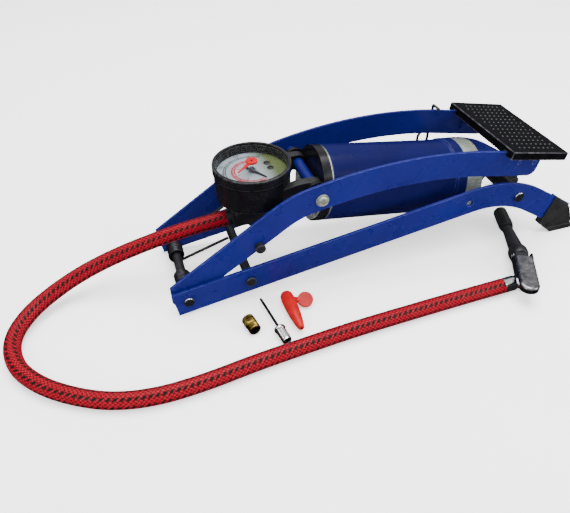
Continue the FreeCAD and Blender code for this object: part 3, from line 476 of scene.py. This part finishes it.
def tube(name, line, radius, sides):
    """Round tube along a line, closed at both ends, with UVs of turns round it and metres along it."""
    places = []
    along = (line[1] - line[0]).normalized()
    out = along.orthogonal().normalized()
    for index, point in enumerate(line):
        before = line[max(index - 1, 0)]
        after = line[min(index + 1, len(line) - 1)]
        way = (after - before).normalized()
        out = (along.rotation_difference(way) @ out).normalized()
        along = way
        side = way.cross(out)
        for step in range(sides):
            angle = math.tau * step / sides
            places.append(point + (out * math.cos(angle) + side * math.sin(angle)) * radius)
    rings = len(line)
    run = lengths(line)
    faces = []
    uvs = []
    for ring in range(rings - 1):
        for step in range(sides):
            after = (step + 1) % sides
            faces.append((ring * sides + step, ring * sides + after,
                          (ring + 1) * sides + after, (ring + 1) * sides + step))
            start = step / sides
            end = (step + 1) / sides
            uvs += [(start, run[ring]), (end, run[ring]), (end, run[ring + 1]), (start, run[ring + 1])]
    for first in (0, (rings - 1) * sides):
        faces.append(tuple(range(first, first + sides)))
        uvs += [(step / sides, run[0 if first == 0 else -1]) for step in range(sides)]
    mesh = bpy.data.meshes.new(name)
    mesh.from_pydata([tuple(place) for place in places], [], faces)
    layer = mesh.uv_layers.new(name="around_along")
    layer.data.foreach_set("uv", np.array(uvs, float).ravel())
    bm = bmesh.new()
    bm.from_mesh(mesh)
    bmesh.ops.recalc_face_normals(bm, faces=bm.faces)
    bpy.data.meshes.remove(mesh)
    return mesh_from(name, bm, 50.0)


def joined(name, meshes):
    """One mesh from several."""
    bm = bmesh.new()
    for mesh in meshes:
        bm.from_mesh(mesh)
        bpy.data.meshes.remove(mesh)
    return mesh_from(name, bm, 50.0)


# ---------------------------------------------------------------- hose
HOSE_R = 5.2
HOSE_ROUTE = [
    (43.6, 0.0, 45.8),
    (20.1, 1.2, 42.6),
    (-4.8, 3.9, 36.0),
    (-31.1, 7.3, 27.0),
    (-55.8, 7.4, 18.0),
    (-77.0, 1.6, 10.8),
    (-93.4, -9.8, 7.0),
    (-103.4, -27.9, 5.4),
    (-100.5, -49.4, 5.2),
    (-88.0, -67.0, 5.2),
    (-70.1, -81.3, 5.2),
    (-48.9, -92.6, 5.2),
    (-24.8, -97.6, 5.2),
    (3.7, -96.6, 5.2),
    (35.8, -92.0, 5.2),
    (69.0, -88.9, 5.2),
    (103.2, -86.0, 5.2),
    (138.0, -84.4, 5.2),
    (176.1, -82.9, 5.2),
    (213.6, -81.8, 5.2),
]


HOSE_SIDES = 48


def make_hose():
    """Braided hose along its route, as one fixed piece; gives back the hose, its line and its length in
    metres along it.
    """
    line = smooth_line([at(*point) for point in HOSE_ROUTE], 48)
    mesh = tube("hose_braid", line, HOSE_R * MM, HOSE_SIDES)
    hose = finished("hose_braid", mesh, "braid", None, "hose")
    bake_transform(hose)
    run = lengths(line)
    return hose, line, run[-1]


# ---------------------------------------------------------------- springs, hook and screws
HINGE = (7.5, 11.2)
COIL_R = 4.7
WIRE_R = 1.05
COIL_PITCH = 2.2
COIL_TURNS = 5
STEPS_PER_TURN = 28
FAR_COIL_Y = 11.0
NEAR_COIL_Y = -18.0
BASE_LEG_ANGLE = math.radians(-73.0)
ARM_LEG_ANGLE = math.radians(116.6)
BASE_LEG_END = (45.5, 18.6)
ARM_LEG_END = (54.6, 38.2)
ARM_LEG_Y = 29.3
ARM_TURN_GAP = 2.3
ARM_TURN_RISE = 0.9


def coil_point(angle, y):
    """Point of a coil's wire round the hinge tube."""
    return at(HINGE[0] + COIL_R * math.cos(angle), y, HINGE[1] + COIL_R * math.sin(angle))


def winding(start, end, y0, y1):
    """Helix between two angles and two depths."""
    steps = max(2, round(abs(end - start) / math.tau * STEPS_PER_TURN))
    shares = [step / steps for step in range(steps + 1)]
    return [coil_point(start + (end - start) * share, y0 + (y1 - y0) * share) for share in shares]


def make_springs():
    """Twin torsion spring: coils with base legs, and outer turns with arm legs."""
    base_parts = []
    arm_parts = []
    for side, inner_y in ((1, FAR_COIL_Y), (-1, NEAR_COIL_Y + COIL_TURNS * COIL_PITCH)):
        first = inner_y + side * WIRE_R
        outer = inner_y + side * (COIL_TURNS * COIL_PITCH - WIRE_R)
        coil = winding(BASE_LEG_ANGLE - COIL_TURNS * math.tau, BASE_LEG_ANGLE, outer, first)
        base_end = at(BASE_LEG_END[0], first, BASE_LEG_END[1])
        leg = [coil[-1].lerp(base_end, share / 6) for share in range(1, 7)]
        base_parts.append(tube("coil", coil + leg, WIRE_R * MM, 12))
        last = outer + side * ARM_TURN_GAP
        turn = winding(ARM_LEG_ANGLE + math.tau, ARM_LEG_ANGLE, last - side * ARM_TURN_RISE, last)
        arm_end = at(ARM_LEG_END[0], side * ARM_LEG_Y, ARM_LEG_END[1])
        leg = [turn[-1].lerp(arm_end, share / 6) for share in range(1, 7)]
        arm_parts.append(tube("turn", turn + leg, WIRE_R * MM, 12))
    finished("spring_coils", joined("spring_coils", base_parts), "spring_steel", "base",
             "torsion_spring")
    finished("spring_turns", joined("spring_turns", arm_parts), "spring_steel", "pedal_frame",
             "spring_arm_legs")


HOOK_Y = 37.0
HOOK_R = 1.0


def make_hook():
    """Latch hook of bent wire: finger leg, pivot bar, rear leg and the hook over the far arm."""
    in_plane = [(212.8, 69.0), (210.0, 66.6), (207.4, 64.3), (205.6, 61.6), (204.1, 58.9),
                (204.3, 55.0), (205.6, 46.2), (205.9, 44.2), (206.3, 43.5), (208.2, 43.5),
                (210.9, 43.5), (212.4, 43.6), (212.7, 45.0), (212.8, 62.0), (213.0, 81.6)]
    over_arm = [(213.0, 36.8, 83.5), (213.0, 34.9, 83.8), (213.0, 31.0, 83.8), (213.0, 28.6, 83.8)]
    places = [(x, HOOK_Y, z) for x, z in in_plane] + over_arm
    line = smooth_line([at(*place) for place in places], 8)
    finished("hook_wire", tube("hook_wire", line, HOOK_R * MM, 14), "steel", "latch", "latch_hook")


PIVOT = (98.6, 69.3)
SCREW_SEAT_Y = 33.4
SHANK_R = 2.0
SHANK_LENGTH = 11.4
RECESS_DEPTH = 0.85


def pan_head(origin, axis, radius, height, slot_half, slot_reach):
    """Domed screw head with a cross recess."""
    sides = 72
    rings = 14
    outline = [(radius, 0.0), (radius, height * 0.35)]
    for ring in range(1, rings):
        share = 1 - ring / rings
        outline.append((radius * share, height * (0.35 + 0.65 * math.sqrt(1 - share ** 3))))
    outline += [(0.0, height), (0.0, 0.0)]
    bm = lathe(outline, origin, axis, sides)
    turn = UP.rotation_difference(axis.normalized()).inverted()
    for vert in bm.verts:
        place = (turn @ (vert.co - origin)) / MM
        for first, second in ((place.x, place.y), (place.y, place.x)):
            if abs(first) < slot_half and abs(second) < slot_reach and place.z > height * 0.5:
                vert.co -= axis.normalized() * (RECESS_DEPTH * MM)
                break
    return bm


def make_screws():
    """Pan head screws in the ends of the pivot tube, with their shanks."""
    parts = []
    for side in SIDES:
        out = ALONG_Y * side
        head = pan_head(at(PIVOT[0], side * SCREW_SEAT_Y, PIVOT[1]), out, 3.6, 2.3, 0.55, 2.0)
        parts.append(mesh_from("head", head, 40.0))
        shank = lathe([(0.0, 0.0), (SHANK_R, 0.0), (SHANK_R, SHANK_LENGTH), (0.0, SHANK_LENGTH)],
                      at(PIVOT[0], side * (SCREW_SEAT_Y - SHANK_LENGTH), PIVOT[1]), out, 24)
        parts.append(mesh_from("shank", shank))
    finished("pivot_screw_heads", joined("pivot_screw_heads", parts), "zinc", "pedal_frame",
             "pivot_screws")


# ---------------------------------------------------------------- pedal and feet
PEDAL_ORIGIN = (229.78, 79.07)
PEDAL_SLOPE = math.radians(-10.79)
TREAD_TOP = 3.2
DOT_ROWS = 13
DOT_ROWS_HALF = 32.5
DOT_PITCH = 4.1
DOT_START = 6.8
DOT_R = 0.62
DOT_SQUASH = 0.72


def make_tread_dots(origin, along, normal):
    """Small raised dots in staggered rows on the foot pad."""
    bm = bmesh.new()
    turn = UP.rotation_difference(normal).to_matrix().to_4x4()
    squash = Matrix.Diagonal((1.0, 1.0, DOT_SQUASH, 1.0))
    for row in range(DOT_ROWS):
        across = DOT_ROWS_HALF * (1 - 2 * row / (DOT_ROWS - 1))
        long_row = row % 2 == 1
        start = DOT_START if long_row else DOT_START + DOT_PITCH / 2
        for column in range(9 if long_row else 8):
            reach = start + DOT_PITCH * column
            centre = origin + along * (reach * MM) + ALONG_Y * (across * MM)
            dome = bmesh.ops.create_uvsphere(bm, u_segments=12, v_segments=6, radius=DOT_R * MM)
            place = Matrix.Translation(centre) @ turn @ squash
            bmesh.ops.transform(bm, matrix=place, verts=dome["verts"])
    return bm


def make_pedal():
    """Foot pad with a shallow raised border and rows of dots."""
    along = Vector((math.cos(PEDAL_SLOPE), 0.0, math.sin(PEDAL_SLOPE)))
    normal = Vector((-along.z, 0.0, along.x))
    softened("pedal_tread", "tread", "pedal_frame", 0.55, 3)
    origin = at(PEDAL_ORIGIN[0], 0.0, PEDAL_ORIGIN[1]) + normal * (TREAD_TOP * MM)
    dots = mesh_from("tread_dots", make_tread_dots(origin, along, normal))
    # The dots take a lighter look than the pad: painted highlight on the raised dots.
    finished("tread_dots", dots, "tread_dot_lit", "pedal_frame")


# ---------------------------------------------------------------- gauge
GAUGE = (62.6, 0.0)
DIAL_TOP = 78.2
PRINT_LIFT = 0.03
NUMBER_LIFT = 0.035


def on_dial(radius, degrees, lift):
    """Point over the dial at a radius and an angle from +x."""
    angle = math.radians(degrees)
    return at(GAUGE[0] + radius * math.cos(angle), GAUGE[1] + radius * math.sin(angle), DIAL_TOP + lift)


def printed_arc(bm, radius, width, start, end):
    """Thin printed band round the dial."""
    steps = max(2, round(abs(end - start) / 3))
    edges = []
    for step in range(steps + 1):
        degrees = start + (end - start) * step / steps
        places = [on_dial(radius + shift, degrees, PRINT_LIFT) for shift in (-width / 2, width / 2)]
        edges.append([bm.verts.new(place) for place in places])
    for before, after in zip(edges, edges[1:]):
        bm.faces.new((before[0], before[1], after[1], after[0]))


def printed_tick(bm, inner, outer, degrees, half):
    """Printed mark that points at the dial's middle."""
    places = []
    for radius, side in ((inner, -1), (outer, -1), (outer, 1), (inner, 1)):
        places.append(on_dial(radius, degrees + side * math.degrees(half / radius), PRINT_LIFT))
    bm.faces.new([bm.verts.new(place) for place in places])


def printed_number(text, radius, degrees, size, look):
    """Number on the dial, its foot towards the dial's middle."""
    curve = bpy.data.curves.new("number", "FONT")
    curve.body = text
    curve.size = size * MM
    curve.align_x = "CENTER"
    curve.align_y = "CENTER"
    holder = bpy.data.objects.new("number", curve)
    mesh = bpy.data.meshes.new_from_object(holder)
    bpy.data.objects.remove(holder)
    bpy.data.curves.remove(curve)
    facing = Matrix.Rotation(math.radians(degrees - 90.0), 4, "Z")
    mesh.transform(Matrix.Translation(on_dial(radius, degrees, NUMBER_LIFT)) @ facing)
    finished("number_%s_%s" % (look, text), mesh, look, "pedal_frame")


SCALE_START = 285.0
SCALE_SWEEP = 225.0
SCALE_STEPS = 50
NUMBER_SIZE = 3.6
BLACK_INNER, BLACK_OUTER = 17.0, 18.4
RED_INNER, RED_OUTER = 11.3, 13.0
DIAL_SCREWS = ((74.3, 6.4), (75.0, 0.2))


def make_dial():
    """Dial's print and screws, the needle with its cap, and the red marker."""
    black = bmesh.new()
    red = bmesh.new()
    printed_arc(black, BLACK_OUTER, 0.5, 60.0, 300.0)
    printed_arc(black, BLACK_INNER, 0.5, 60.0, 300.0)
    printed_arc(red, RED_OUTER, 1.0, 75.0, 300.0)
    printed_arc(red, RED_INNER, 0.8, 75.0, 300.0)
    for step in range(SCALE_STEPS + 1):
        degrees = SCALE_START - SCALE_SWEEP * step / SCALE_STEPS
        black_end, red_end, half = (19.4, 13.9, 0.35) if step % 5 == 0 else (18.4, 12.7, 0.15)
        printed_tick(black, BLACK_INNER, black_end, degrees, half)
        printed_tick(red, RED_INNER, red_end, degrees, half)
    for number in range(1, 6):
        degrees = SCALE_START - SCALE_SWEEP * number / 5.0
        printed_number(str(number * 20), 20.9, degrees, NUMBER_SIZE, "black_ink")
        printed_number(str(number * 2), 9.0, degrees, NUMBER_SIZE, "red_ink")
    finished("dial_black_print", mesh_from("dial_black_print", black), "black_ink", "pedal_frame")
    finished("dial_red_print", mesh_from("dial_red_print", red), "red_ink", "pedal_frame")
    for index, place in enumerate(DIAL_SCREWS):
        cap = pan_head(at(*place, DIAL_TOP), UP, 2.2, 0.8, 0.3, 1.6)
        finished("dial_screw_%d" % index, mesh_from("dial_screw", cap), "black_paint", "pedal_frame")
    softened("gauge_needle", "black_paint", "needle", 0.12)
    hub = lathe([(0.0, 0.0), (2.3, 0.0), (2.3, 0.5), (1.6, 0.9), (1.5, 1.6), (0.9, 1.9), (0.0, 2.0)],
                at(*GAUGE, 79.3), UP, 40)
    finished("needle_hub_cap", mesh_from("needle_hub_cap", hub), "steel", "needle")
    softened("gauge_marker", "red_plastic", "marker", 0.2)


# ---------------------------------------------------------------- connector
MOUTH = at(260.6, -10.0, 6.9)
CHUCK_BACK = Vector((-0.339, -0.941, 0.0)).normalized()
HOSE_END = at(*HOSE_ROUTE[-1])
HOSE_END_WAY = (HOSE_END - at(*HOSE_ROUTE[-2])).normalized()


def ribbed(radius, height, angle):
    """Grip sleeve: shallow flutes along its wide part."""
    depth = 0.2 if 1.5 < height < 17.5 and radius > 4.5 else 0.0
    return radius - depth * (0.5 + 0.5 * math.cos(16 * angle)) ** 3


def crimped(radius, height, angle):
    """Ferrule: flats pressed in by the crimping jaws."""
    if radius < 4.0 or not 1.0 < height < 9.0:
        return radius
    flats = 8
    within = (angle % (math.tau / flats)) - math.pi / flats
    return min(radius, radius * 0.955 / math.cos(within))


def make_connector():
    """Lever connector from its sleeve to the crimped ferrule, as the pieces that end the hose."""
    sleeve = lathe([(4.0, 0.0), (4.4, 0.0), (4.8, 0.3), (5.0, 1.0), (5.02, 1.6), (5.16, 9.0),
                    (5.29, 16.6), (5.29, 17.2), (5.1, 18.5), (4.8, 20.0), (4.5, 21.0), (3.6, 21.0),
                    (3.6, 12.0), (4.0, 12.0)],
                   MOUTH, CHUCK_BACK, 128, ribbed)
    neck = lathe([(1.4, 15.5), (3.6, 15.5), (3.6, 21.0), (3.7, 22.0), (4.3, 32.0), (5.0, 43.0),
                  (5.2, 46.0), (1.4, 46.0)], MOUTH, CHUCK_BACK, 64)
    collar = lathe([(0.0, 46.0), (5.2, 46.0), (5.9, 46.6), (6.5, 48.0), (6.8, 49.6), (6.9, 51.0),
                    (6.8, 52.8), (6.4, 54.3), (5.9, 55.0), (0.0, 55.0)], MOUTH, CHUCK_BACK, 64)
    ferrule = lathe([(0.0, 0.0), (4.9, 0.0), (5.2, 0.4), (5.2, 1.2), (5.2, 2.0), (5.2, 8.0), (5.2, 8.8),
                     (4.9, 9.4), (4.6, 9.8), (4.6, 12.4), (0.0, 12.4)],
                    HOSE_END, HOSE_END_WAY, 96, crimped)
    return [
        finished("grip_sleeve", mesh_from("grip_sleeve", sleeve, 45.0), "black_plastic", "base",
                 "nozzle_sleeve"),
        finished("neck", mesh_from("neck", neck, 45.0), "black_plastic", "base", "nozzle_cone"),
        finished("collar", mesh_from("collar", collar, 45.0), "black_plastic", "base",
                 "connector_collar"),
        finished("crimped_ferrule", mesh_from("crimped_ferrule", ferrule, 20.0), "chrome", "base",
                 "hose_ferrule"),
        softened("chuck_lever", "lever_metal", "lever", 0.3, 2),
        softened("lever_pin", "steel", "base", 0.4, 3),
        softened("connector_body", "black_plastic", "base", 1.0, 3),
        NODES["valve_seal"],
    ]


# ---------------------------------------------------------------- loose adapters
NEEDLE_TIP = at(53.9, -39.9, 3.9)
NEEDLE_WAY = Vector((5.9, -42.2, 0.0)).normalized()
BRASS_MIDDLE = at(42.0, -60.9, 4.3)
BRASS_WAY = Vector((0.2, -0.98, 0.0)).normalized()


def knurled(radius, height, angle):
    """Brass adapter: fine straight knurl on its rear part."""
    depth = 0.2 if -5.2 < height < 0.4 and radius > 4.0 else 0.0
    return radius - depth * (0.5 + 0.5 * math.cos(36 * angle))


def threads(radius, start, end, pitch, depth):
    """Outline of a thread along a cylinder."""
    outline = []
    for turn in range(int((end - start) / pitch)):
        base = start + turn * pitch
        outline += [(radius - depth, base), (radius, base + pitch * 0.35), (radius, base + pitch * 0.55)]
    return outline


def make_adapters():
    """Brass valve adapter, ball needle with its hub, and red cone nozzle."""
    outline = [(1.0, -5.8), (3.7, -5.8), (4.1, -5.5), (4.2, -5.1), (4.2, -4.2), (4.2, -0.5), (4.2, 0.3),
               (4.0, 0.8), (3.7, 1.2), (3.7, 1.8)]
    outline += threads(4.0, 2.0, 5.6, 0.7, 0.3)
    outline += [(3.9, 5.6), (3.7, 5.8), (3.0, 5.8), (3.0, -2.2), (1.0, -2.2)]
    brass = lathe(outline, BRASS_MIDDLE, BRASS_WAY, 144, knurled)
    finished("valve_adapter_brass", mesh_from("valve_adapter_brass", brass, 30.0), "brass",
             "valve_adapter", "brass_adapter")
    needle = lathe([(0.0, 0.0), (0.35, 0.05), (0.7, 0.4), (0.95, 1.2), (0.95, 28.6), (0.0, 28.6)],
                   NEEDLE_TIP, NEEDLE_WAY, 32)
    finished("ball_needle_pin", mesh_from("ball_needle_pin", needle, 45.0), "spring_steel",
             "needle_adapter", "ball_needle")
    outline = [(0.0, 28.6), (1.9, 28.6), (2.2, 28.8), (3.0, 29.6), (3.7, 29.8), (3.8, 30.0), (3.8, 31.0),
               (3.7, 31.2), (3.2, 31.4), (3.2, 31.8)]
    outline += threads(3.2, 32.0, 40.9, 0.8, 0.22)
    outline += [(3.1, 40.9), (2.9, 41.4), (2.5, 41.4), (2.5, 34.0), (0.0, 34.0)]
    hub = lathe(outline, NEEDLE_TIP, NEEDLE_WAY, 64)
    finished("ball_needle_hub", mesh_from("ball_needle_hub", hub, 30.0), "chrome", "needle_adapter",
             "needle_hub")
    softened("cone_nozzle", "red_plastic", "nozzle_adapter", 0.5, 3)


# ---------------------------------------------------------------- everything together
make_camera()
make_world()
softbox("overhead", (0.05, 0.15, 1.3), (0.0, 0.0, 0.0), 1.1, 1.1, 42.0)
softbox("right", (1.0, -0.7, 0.7), (0.05, 0.0, 0.03), 0.5, 0.7, 16.0)
softbox("left", (-1.0, -0.5, 0.8), (0.0, 0.0, 0.03), 0.4, 0.6, 8.0)

FLOOR_HALF = 4.0
DOME_R = 3.9
FLOOR_DROP = 0.0001
STUDIO = surface("pale_studio", (0.90, 0.90, 0.90), (0.92, 0.92, 0.92), patch=80.0, rough=(0.7, 0.8),
                 grain=4.0, depth=0.01, Specular_IOR_Level=0.1, Emission_Color=(1.0, 1.0, 1.0, 1.0),
                 Emission_Strength=0.9)
floor_mesh = bpy.data.meshes.new("floor")
corners = ((-1, -1), (1, -1), (1, 1), (-1, 1))
floor_mesh.from_pydata([(x * FLOOR_HALF, y * FLOOR_HALF, 0.0) for x, y in corners], [], [(0, 1, 2, 3)])
dome = bmesh.new()
bmesh.ops.create_uvsphere(dome, u_segments=64, v_segments=32, radius=DOME_R)
for stage_name, stage_mesh in (("floor", floor_mesh), ("backdrop", mesh_from("backdrop", dome))):
    stage_mesh.materials.append(STUDIO)
    stage = bpy.data.objects.new(stage_name, stage_mesh)
    stage.location.z = -FLOOR_DROP
    stage.visible_glossy = False
    stage.visible_diffuse = stage_name == "floor"
    stage.visible_shadow = stage_name == "floor"
    bpy.context.scene.collection.objects.link(stage)

make_springs()
make_hook()
make_screws()
make_pedal()
make_dial()
make_adapters()
hose, hose_line, hose_length = make_hose()
make_connector()

BODY_OF = {name: item["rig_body"] for name, item in NODES.items()}
SOFTENED = {
    "blue_paint": (("base_rail_near", 0.4), ("base_rail_far", 0.4), ("pedal_arm_near", 0.4),
                   ("pedal_arm_far", 0.4), ("pedal_bracket", 0.4), ("pivot_tube", 0.3),
                   ("pedal_rivets", 0.3)),
    "barrel_paint_shaded": (("barrel_shell", 0.5),),
    "zinc": (("rear_cap", 0.5), ("head_plate", 0.3), ("cylinder_tube", 0.3),
             ("pivot_washers", 0.2)),
    "gloss_black": (("head_cap", 0.5), ("gauge_case", 0.5), ("gauge_bezel", 0.3)),
    "black_plastic": (("manifold", 0.8), ("gauge_bracket", 0.6)),
    "rubber": (("foot_near", 0.6), ("foot_far", 0.6)),
    "chrome": (("hinge_shaft", 1.0), ("rear_bolt", 1.0)),
    "steel": (("latch_staple", 0.4), ("rod_end", 0.5), ("piston_rod", 0.4)),
    "black_paint": (("stop_studs", 0.7), ("base_cross_rod", 0.8), ("hinge_tube", 0.3),
                    ("rear_spacer_tube", 0.3)),
    "lens": (("gauge_lens", 0.2),),
}
for look_name, entries in SOFTENED.items():
    for node_name, bevel_width in entries:
        softened(node_name, look_name, BODY_OF[node_name], bevel_width)

for record_part in frame["record"]["subparts"]:
    cad = NODES[record_part["node"]]
    if not cad.hide_render:
        cad.data.materials.clear()
        cad.data.materials.append(LOOKS[record_part["material_slot"]])
